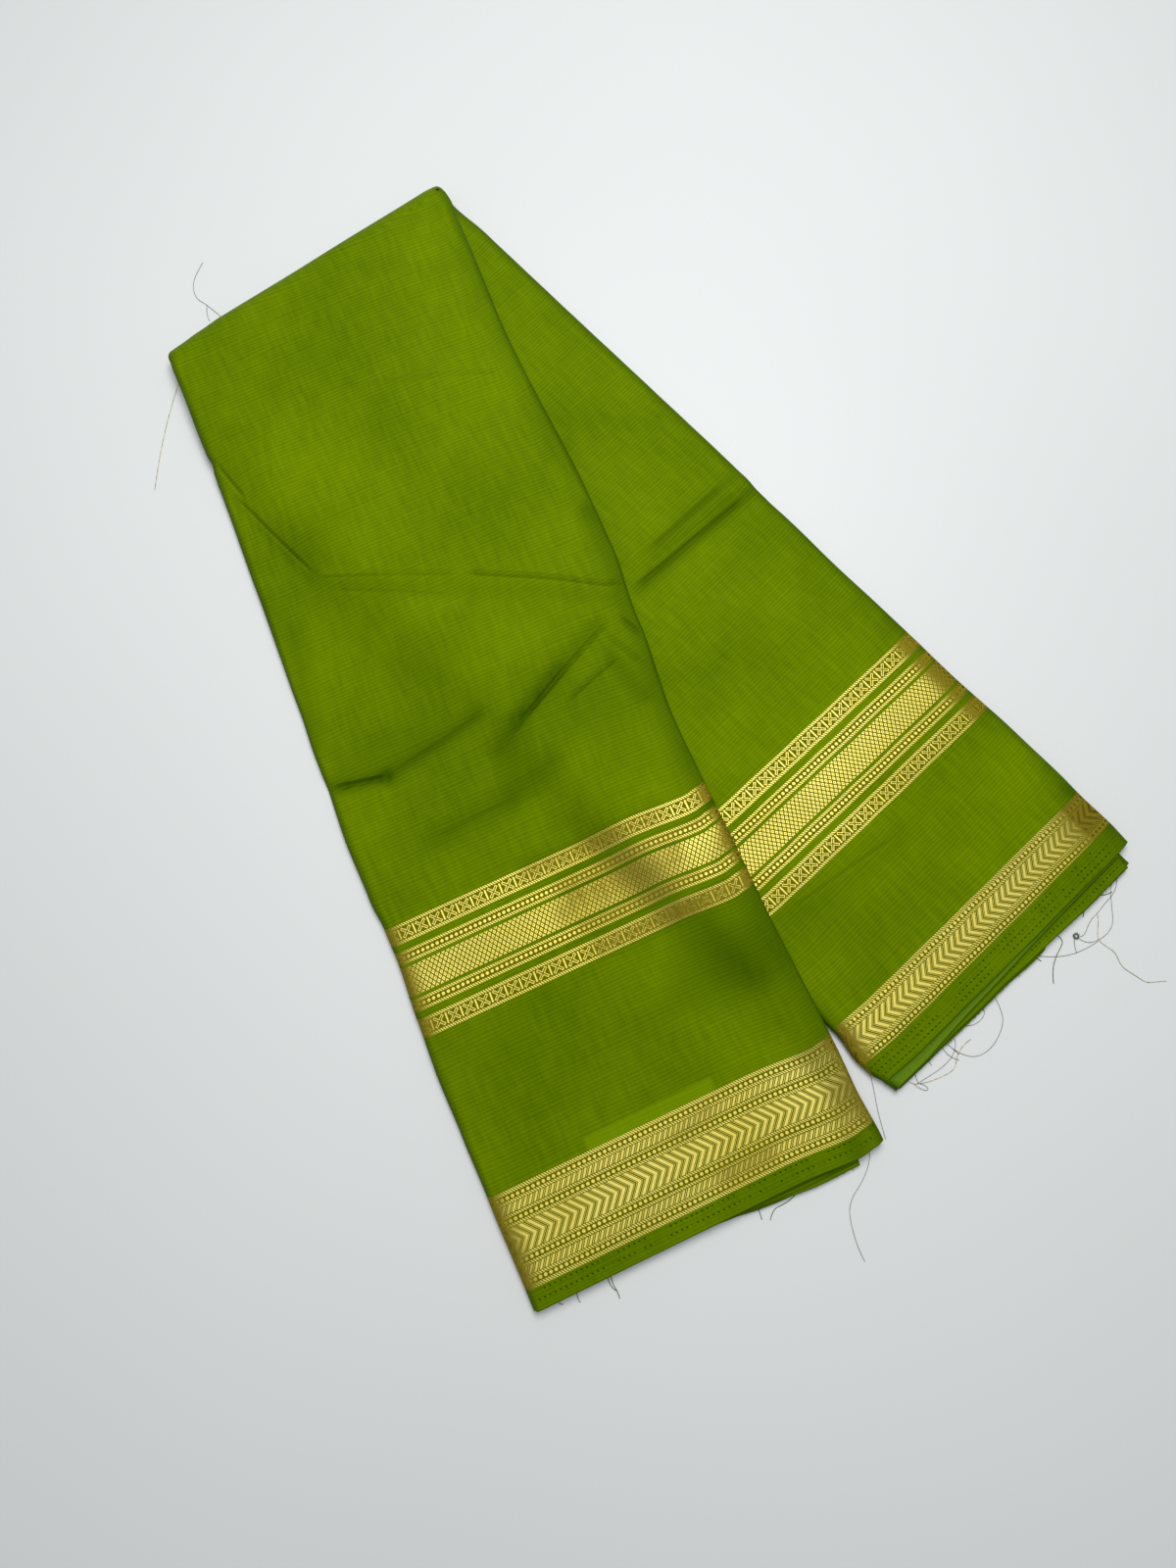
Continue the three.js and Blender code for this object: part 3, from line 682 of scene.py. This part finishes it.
# The plain cloth: the selvedges with their rows of pin-holes, and a lighter patch
FRONT_SELVEDGE, BACK_SELVEDGE = 11.2, 14.0
FRONT_HOLES, BACK_HOLES = (5.2, 9.3), (3.7, 7.2, 10.6)
HOLE_PERIOD, HOLE_SLANT = 2.9, 0.35
PATCH_MIDDLE = (94.0, 63.8)
PALE_END, RIB_PERIOD, RIB_GAP = (8.5, 7.5), 0.9, 0.2
THREAD_PERIOD = 0.42

# Where painted shade darkens the gold towards the edges of the front and the back, and on the back's border
FRONT_GOLD_SHADE, BACK_GOLD_SHADE, BORDER_GOLD_SHADE = (188.0, 194.5), (179.0, 185.5), (164.0, 186.0)
BORDER_GOLD_SHADE_END = 44.0


def banded(value, spans):
    """Reads spans along a value, with sharp steps, and gives their three masks."""
    ramp = Signal.node(value.tree, "ValToRGB", None, {0: value / BAND_REACH})
    stops = ramp.socket.node.color_ramp
    stops.interpolation = "CONSTANT"
    stops.elements.remove(stops.elements[1])
    for low, high, masks in spans:
        span = stops.elements.new(low / BAND_REACH) if low else stops.elements[0]
        span.color = (*masks, 1.0)
        stops.elements.new(high / BAND_REACH).color = (0.0, 0.0, 0.0, 1.0)
    return [Signal.node(value.tree, "SeparateColor", None, {0: ramp}, channel) for channel in range(3)]


def woven_gold(u, v_front, v_back):
    """The masks of the gold floats and of the ground that they lie on."""
    broad = abs(v_front - BROAD_MIDDLE)
    narrow = NARROW_TOP - v_back
    stripe = abs(v_front - STRIPE_FRONT_MIDDLE).lowest(abs(v_back - STRIPE_BACK_MIDDLE))
    broad_masks = banded(broad, BROAD_BANDS)
    # above the border the masks read nothing
    narrow_masks = banded(narrow.highest(NARROW_PAST * (narrow < 0)), NARROW_BANDS)
    stripe_masks = banded(stripe, STRIPE_BANDS)

    slant = (u + TICK_SLANT * v_front).to_nearest(TICK_PERIOD)
    ticks = (slant < TICK_WIDTH) * (broad_masks[0] + narrow_masks[0] + stripe_masks[0])

    dot_rows = nearest(((broad, BROAD_DOTS), (narrow, NARROW_DOTS), (stripe, STRIPE_DOTS)))
    along_dots = u.to_nearest(DOT_PERIOD)
    dots = (dot_rows * dot_rows + along_dots * along_dots).fade(DOT_OUTSIDE, DOT_INSIDE)

    from_middle = broad.lowest(abs(narrow - NARROW_MIDDLE))
    arrow = (u + ARROW_SLANT * from_middle).to_nearest(ARROW_PERIOD)
    arrows = ((arrow < ARROW_WIDTH) + arrow.near(*ARROW_LINE)) * (broad_masks[2] + narrow_masks[2])

    bar = (u - BAR_SLANT * v_front).to_nearest(BAR_PERIOD)
    bars = ((bar < BAR_WIDTH) + (bar > BAR_LINE)) * broad_masks[1]

    rise = u / LATTICE_ALONG
    lattice = [(rise + sign * stripe / LATTICE_ACROSS).to_nearest(1.0) for sign in (1, -1)]
    diamonds = lattice[0].lowest(lattice[1]).near(*LATTICE_LINE) * stripe_masks[1]

    to_bar = u.to_nearest(BOX_PERIOD)
    from_cross = abs(stripe - CROSS_MIDDLE)
    upright = (to_bar < BOX_BAR) * (from_cross < BOX_HEIGHT)
    to_centre = BOX_PERIOD / 2 - to_bar
    arm_along = (to_centre + from_cross) / math.sqrt(2)
    arm_across = abs(to_centre - from_cross) / math.sqrt(2)
    outline = (arm_across - ARM_ACROSS).highest(arm_along - ARM_ALONG).near(0.0, ARM_LINE)
    crosses = outline.highest(upright) * stripe_masks[2]

    stripe_ground = (stripe < LATTICE_HALF) + stripe.near(STRIPE_DOTS[0], DOTS_HALF)
    stripe_ground = stripe_ground + stripe.near(CROSS_MIDDLE, CROSS_HALF)
    ground = (broad < BROAD_HALF) + narrow.near(NARROW_HEIGHT / 2, NARROW_HEIGHT / 2) + stripe_ground
    floats = ticks + dots * ground + arrows + bars + diamonds + crosses
    return floats.lowest(1.0), ground.lowest(1.0)


def cloth_material(name, cloth, zari, pale_end):
    """Green silk with its woven gold borders, on the leaf's own map in millimetres."""
    material, make = new_material(name)

    def mapped(layer):
        place = make("UVMap", {"uv_map": layer})
        return [make("SeparateXYZ", None, {0: place}, axis) * 1000 for axis in (0, 1)]

    def thread_noise(across, along, detail=3.0):
        place = make("CombineXYZ", None, {0: u * across, 1: v_front * along})
        return make("TexNoise", None, {"Vector": place, "Scale": 1.0, "Detail": detail})

    u, v_front = mapped("from_front")
    v_back = mapped("from_back")[1]
    floats, ground = woven_gold(u, v_front, v_back)

    # the silk: slow drifts of the dye, fine streaks along both threads, faint watered bars
    here = make("TexCoord", None, None, 3)
    drift = make("TexNoise", None, {"Vector": here, "Scale": 13.0, "Detail": 3.0})
    streak = thread_noise(0.04, 0.9)
    warp = thread_noise(1.1, 0.03)
    ripple = thread_noise(0.3, 0.06, 2.0)
    watered = make("TexWave", {"bands_direction": "Y"}, {
        "Vector": make("CombineXYZ", None, {0: u * 0.02, 1: v_front * 0.16}),
        "Scale": 1.0, "Distortion": 5.0, "Detail": 2.0, "Detail Scale": 1.2,
    })
    tone = drift * 0.62 + streak * 0.13 + warp * 0.21 + watered * 0.18 + ripple * 0.31
    green = tone.fade(0.5, 0.74).colours(cloth.deep_green, cloth.green)
    green = tone.fade(0.74, 1.0).colours(green, cloth.light_green)

    # the lighter patch above the broad border
    patch = abs(v_front - PATCH_MIDDLE[1]).fade(4.2, 3.2) * abs(u - PATCH_MIDDLE[0]).fade(37.0, 35.0)
    green = (patch * 0.45).colours(green, linear(122, 152, 6))

    # the selvedges and their pin-holes
    hole_rows = nearest(((v_front, FRONT_HOLES), (v_back, BACK_HOLES)))
    along_holes = (u + HOLE_SLANT * v_front).to_nearest(HOLE_PERIOD)
    patchy = make("TexNoise", None, {"Vector": here, "Scale": 90.0})
    holes = (hole_rows * hole_rows + along_holes * along_holes).fade(0.42, 0.16) * patchy.fade(0.42, 0.5)
    selvedge = (v_front < FRONT_SELVEDGE) + (v_back < BACK_SELVEDGE)
    green = (selvedge * 0.35).colours(green, cloth.deep_green)
    green = (holes * 0.9).colours(green, linear(22, 50, 0))
    if pale_end:
        ribs = 0.35 + 0.45 * (u.to_nearest(RIB_PERIOD) > RIB_GAP)
        green = (v_back.fade(*PALE_END) * ribs).colours(green, cloth.pale_edge)

    # painted shade: in the hollows, along the turned edges, as a thin dark line of painted shadow at each
    # leaf's cut ends, and as a dark spot in the hollow where the roll of the fold ends
    shade = make("Attribute", {"attribute_name": "shade"}, None, 2)
    to_edge = abs(u)
    # painted shade along the flap's left side and its turned right edge
    turned = to_edge.fade(6.0, 1.0) + to_edge.fade(EDGE_TURN - 7.0, EDGE_TURN)
    cut_edge_shadow = v_front.lowest(v_back).fade(0.8, 0.3)
    uneven = 0.3 + 0.35 * warp + 0.25 * streak + ripple.fade(0.3, 0.7) * 0.35
    painted_shade = (shade * uneven).highest(turned * 0.75).highest(cut_edge_shadow * 0.7)
    green = painted_shade.colours(green, cloth.shade_green)
    fold_end_shadow = make("VectorMath", {"operation": "DISTANCE"}, {0: here, 1: FOLD_END_SHADOW}, 1)
    green = fold_end_shadow.fade(0.0014, 0.0007).colours(green, linear(16, 32, 0))

    # the gold, darkened by painted shade in the hollows and where it nears an edge; where it is darkened, the
    # ground between the floats is painted lighter, a painted sheen
    right = u * -1
    gold_edge_shade = u.fade(*FRONT_GOLD_SHADE) + right.fade(*BACK_GOLD_SHADE) * 0.9
    border_gold_shade = right.fade(*BORDER_GOLD_SHADE) * (v_back < BORDER_GOLD_SHADE_END) * 0.7
    uneven_gold = 0.6 + 0.8 * warp.fade(0.35, 0.65) * streak.fade(0.3, 0.7)
    gold_shade = (shade * uneven_gold + to_edge.fade(13.0, 5.0) * 0.8 + gold_edge_shade * 0.8 + border_gold_shade).lowest(0.92)
    gold = (drift * 0.6 + streak * 0.5).fade(0.35, 0.8).colours(linear(205, 188, 78), zari.float_gold)
    gold = gold_shade.colours(gold, zari.shaded_gold)
    ground_gold = (gold_shade * 0.6).colours(zari.ground_gold, linear(146, 130, 34))
    colour = ground.colours(green, floats.colours(ground_gold, gold))

    weave = (u.to_nearest(THREAD_PERIOD) * v_front.to_nearest(THREAD_PERIOD)) * 14
    height = weave * 0.25 + streak * 0.5 + warp * 0.4 + floats * 0.9 - holes * 1.2
    lines = pressed_lines(u, v_front, FRONT_LINES) + pressed_lines(right, v_back, BACK_LINES)
    pressed = make("Bump", None, {"Strength": 1.0, "Distance": 1.6 * MM, "Height": lines})
    make("OutputMaterial", None, {0: make("BsdfPrincipled", None, {
        "Base Color": colour, "Metallic": floats * zari.shine,
        "Roughness": 0.56 - 0.18 * floats + (streak - 0.5) * 0.1,
        "Specular IOR Level": 0.2, "Specular Tint": linear(196, 232, 40),
        "Normal": make("Bump", None, {
            "Strength": 0.32, "Distance": 0.18 * MM, "Height": height, "Normal": pressed,
        }),
    })})
    return material


def thread_material(name, colour, second, gold):
    """A twisted thread: two colours wound round each other."""
    material, make = new_material(name)
    here = make("TexCoord", None, None, 3)
    twist = make("TexNoise", None, {"Vector": here, "Scale": 420.0, "Detail": 2.0})
    make("OutputMaterial", None, {0: make("BsdfPrincipled", None, {
        "Base Color": twist.fade(0.45, 0.6).colours(colour, second), "Roughness": 0.65 - 0.2 * twist,
        "Normal": make("Bump", None, {"Strength": 0.4, "Distance": 0.1 * MM, "Height": twist}),
        "Metallic": twist.fade(0.5, 0.6) * gold,
    })})
    return material


def finish_piece(piece, material):
    piece.data.materials.clear()
    piece.data.materials.append(material)
    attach(piece, "root")


class SAREE_OT_outer_leaves(bpy.types.Operator):
    """Model the outermost leaves, which run over both flaps and round the fold and the left side."""
    bl_idname = "saree.outer_leaves"
    bl_label = "Outer leaves"

    def execute(self, context):
        cloth = context.scene.saree_cloth
        path = LeafPath(TURNED_EDGE, OUTER_TURN, TOP_SPANS, BOTTOM_SPANS)
        sheet = leaf_rings(path, cloth.spacing / MM, OUTER_WRAP, cloth.crease, True, (0.0, 1.0, 0.0))
        leaf = cloth_leaf("outer_leaves", path, *sheet, cloth.thickness)
        silk = cloth_material("saree_cloth", cloth, context.scene.saree_zari, False)
        finish_piece(leaf, silk)
        outer = [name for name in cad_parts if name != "hidden_layers"]
        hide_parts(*outer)
        return {"FINISHED"}


class SAREE_OT_inner_leaves(bpy.types.Operator):
    """Model the leaves that show at the edges and ends, one inside another."""
    bl_idname = "saree.inner_leaves"
    bl_label = "Inner leaves"

    def execute(self, context):
        cloth = context.scene.saree_cloth
        zari = context.scene.saree_zari
        pale = cloth_material("saree_pale_edge", cloth, zari, True)
        plain = cloth_material("saree_lower_leaf", cloth, zari, False)
        generator = random.Random(INNER_SEED)
        for number, depth in enumerate(INNER_DEPTHS, 1):
            right_end = inner_right_end(depth + INNER_CLEARANCE, generator)
            path = LeafPath(right_end, INNER_TURN, INNER_TOP_SPANS, INNER_BOTTOM_SPANS)
            jitter = (generator.uniform(0.15, 0.4), generator.uniform(9, 22), generator.uniform(0, 6))
            sheet = leaf_rings(path, INNER_SPACING, INNER_WRAP, cloth.crease, False, jitter)
            leaf = cloth_leaf(f"inner_leaf_{number}", path, *sheet, cloth.thickness * INNER_THINNER)
            finish_piece(leaf, pale if number <= PALE_LEAVES else plain)
            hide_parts("hidden_layers")
        return {"FINISHED"}


def thread_tubes(name, lines, radius):
    """Loose threads as thin tubes of four sides along smooth lines."""
    clear_selection()
    bpy.ops.curve.primitive_nurbs_path_add()
    threads = bpy.context.active_object
    threads.name = name
    curve = threads.data
    curve.dimensions = "3D"
    curve.splines.clear()
    for points in lines:
        spline = curve.splines.new("NURBS")
        spline.points.add(len(points) - 1)
        for point, (x, y, z) in zip(spline.points, points):
            point.co = (x * MM, y * MM, z * MM, 1)
        spline.order_u = 4
        spline.use_endpoint_u = True
        spline.resolution_u = 5
    curve.bevel_depth = radius
    curve.bevel_resolution = 0
    curve.use_fill_caps = True
    bpy.ops.object.convert(target="MESH")
    threads = bpy.context.active_object
    bpy.ops.object.shade_smooth()
    return threads


def on_table(line, start_height=1.6):
    """Gives a line on the table its heights: it comes out of the edge and lies in low humps."""
    heights = [0.2 + 0.35 * abs(math.sin(1.9 * k)) for k in range(len(line) // 2)]
    heights[0] = start_height
    return [(x / 10, y / 10, z) for x, y, z in zip(line[::2], line[1::2], heights)]


class SAREE_OT_loose_threads(bpy.types.Operator):
    """Lay the loose threads on the table round the saree's ends."""
    bl_idname = "saree.loose_threads"
    bl_label = "Loose threads"

    def execute(self, context):
        radius = context.scene.saree_threads.radius
        generator = random.Random(context.scene.saree_threads.seed)
        tangle = []
        for _ in range(KNOT_LOOPS):
            turn = generator.uniform(0, 2 * math.pi)
            loop = []
            for k in range(KNOT_POINTS):
                angle = turn + k * KNOT_STEP
                wide = generator.uniform(0.9, 2.1)
                x, y = KNOT_CENTRE[0] + wide * math.cos(angle), KNOT_CENTRE[1] + wide * math.sin(angle)
                loop.append((x, y, 0.3 + generator.uniform(0, 1.7)))
            tangle.append(loop)
        groups = (
            ("dark_threads", [on_table(line) for line in DARK_THREADS] + tangle, 0.9,
             (linear(70, 80, 58), linear(112, 112, 78), 0.2)),
            ("pale_threads", [on_table(line, 0.4) for line in PALE_THREADS], 1.15,
             (linear(150, 146, 112), linear(226, 214, 160), 0.5)),
            ("green_threads", [on_table(line) for line in GREEN_THREADS], 1.5,
             (linear(52, 84, 14), linear(92, 124, 34), 0.0)),
        )
        for name, lines, scale, look in groups:
            threads = thread_tubes(name, lines, radius * scale)
            finish_piece(threads, thread_material(name + "_finish", *look))
        return {"FINISHED"}


class SAREE_OT_frayed_ends(bpy.types.Operator):
    """Add the short frayed thread ends along the selvedges of the lower leaves."""
    bl_idname = "saree.frayed_ends"
    bl_label = "Frayed ends"

    def execute(self, context):
        settings = context.scene.saree_threads
        generator = random.Random(settings.seed + 1)
        lines = []
        for _ in range(settings.frays):
            flap, low, high = (BACK, 30, 176) if generator.random() < 0.8 else (FRONT, 20, 182)
            across = generator.uniform(low, high)
            share = np.array([across / flap.width])
            height = generator.choice((1.0, 2.2, 3.4))
            reach = float(flap.reach(across, height, False))
            length = generator.uniform(0.8, 2.6)
            lean = generator.uniform(-1.2, 1.2)
            line = []
            for k in range(4):
                out = reach - 0.8 + length * k / 3
                place = flap.plan(np.array([lean * (k / 3) ** 2]), share, np.array([-out]))[0]
                line.append((place[0], place[1], max(0.15, height * (1 - 0.5 * k / 3))))
            lines.append(line)
        frays = thread_tubes("frayed_ends", lines, settings.radius * 0.8)
        look = (linear(70, 106, 8), linear(116, 150, 40), 0.0)
        finish_piece(frays, thread_material("frayed_end_finish", *look))
        return {"FINISHED"}


class SAREE_OT_stage(bpy.types.Operator):
    """Set the table, the soft lights and the camera."""
    bl_idname = "saree.stage"
    bl_label = "Table, lights and camera"

    def execute(self, context):
        stage = context.scene.saree_stage
        clear_selection()
        bpy.ops.mesh.primitive_plane_add(size=8, location=(0, 0, 0))
        table = bpy.context.active_object
        table.name = "table_top"
        material, make = new_material("table_finish")
        here = make("TexCoord", None, None, 3)
        haze = make("TexNoise", None, {"Vector": here, "Scale": 1.6})
        make("OutputMaterial", None, {0: make("BsdfPrincipled", None, {
            "Base Color": haze.fade(0.3, 0.75).colours(stage.table, linear(226, 229, 228)),
            "Roughness": 0.42, "Specular IOR Level": 0.35,
        })})
        table.data.materials.append(material)

        for name, place, aim, size, power in (
            ("key_light", (0.03, 0.42, 1.0), (0.0, 0.1, 0.0), 0.6, stage.key_power),
            ("overhead_light", (0.0, 0.01, 1.7), (0.0, 0.0, 0.0), 1.4, stage.overhead_power),
        ):
            bpy.ops.object.light_add(type="AREA", location=place)
            light = bpy.context.active_object
            light.name = name
            light.data.size = size
            light.data.energy = power
            x, y, z = np.array(aim) - np.array(place)
            light.rotation_euler = (math.atan2(math.hypot(x, y), -z), 0, math.atan2(y, x) - math.pi / 2)

        world = bpy.data.worlds.new("room")
        world.use_nodes = True
        inputs = world.node_tree.nodes["Background"].inputs
        inputs["Color"].default_value = linear(230, 233, 235)
        inputs["Strength"].default_value = stage.sky
        context.scene.world = world

        bpy.ops.object.camera_add(location=CAMERA_PLACE, rotation=(CAMERA_TILT, 0, 0))
        camera = bpy.context.active_object
        camera.name = "photo_camera"
        camera.data.lens = stage.lens
        camera.data.sensor_width = SENSOR_WIDTH
        camera.data.clip_start = 0.01
        context.scene.camera = camera
        context.scene.view_settings.view_transform = "Standard"
        return {"FINISHED"}


PIECE_OPERATORS = (
    SAREE_OT_outer_leaves, SAREE_OT_inner_leaves, SAREE_OT_loose_threads, SAREE_OT_frayed_ends,
    SAREE_OT_stage,
)


class SAREE_PT_panel(bpy.types.Panel):
    """Lists what makes the saree and its table."""
    bl_label = "Saree"
    bl_idname = "SAREE_PT_panel"
    bl_space_type = "VIEW_3D"
    bl_region_type = "UI"
    bl_category = "Saree"

    def draw(self, context):
        for operator in PIECE_OPERATORS:
            self.layout.operator(operator.bl_idname)
        for group, kind in SETTINGS.items():
            box = self.layout.box()
            for name in kind.__annotations__:
                box.prop(getattr(context.scene, group), name)


SETTINGS = {
    "saree_cloth": SareeCloth, "saree_zari": SareeZari,
    "saree_threads": SareeThreads, "saree_stage": SareeStage,
}
CLASSES = (*SETTINGS.values(), *PIECE_OPERATORS, SAREE_PT_panel)


def register():
    for one in CLASSES:
        bpy.utils.register_class(one)
    for name, kind in SETTINGS.items():
        setattr(bpy.types.Scene, name, bpy.props.PointerProperty(type=kind))


def unregister():
    for name in SETTINGS:
        delattr(bpy.types.Scene, name)
    for one in reversed(CLASSES):
        bpy.utils.unregister_class(one)


def main():
    register()
    bpy.ops.saree.outer_leaves()
    bpy.ops.saree.inner_leaves()
    bpy.ops.saree.loose_threads()
    bpy.ops.saree.frayed_ends()
    bpy.ops.saree.stage()


if __name__ == "__main__":
    main()
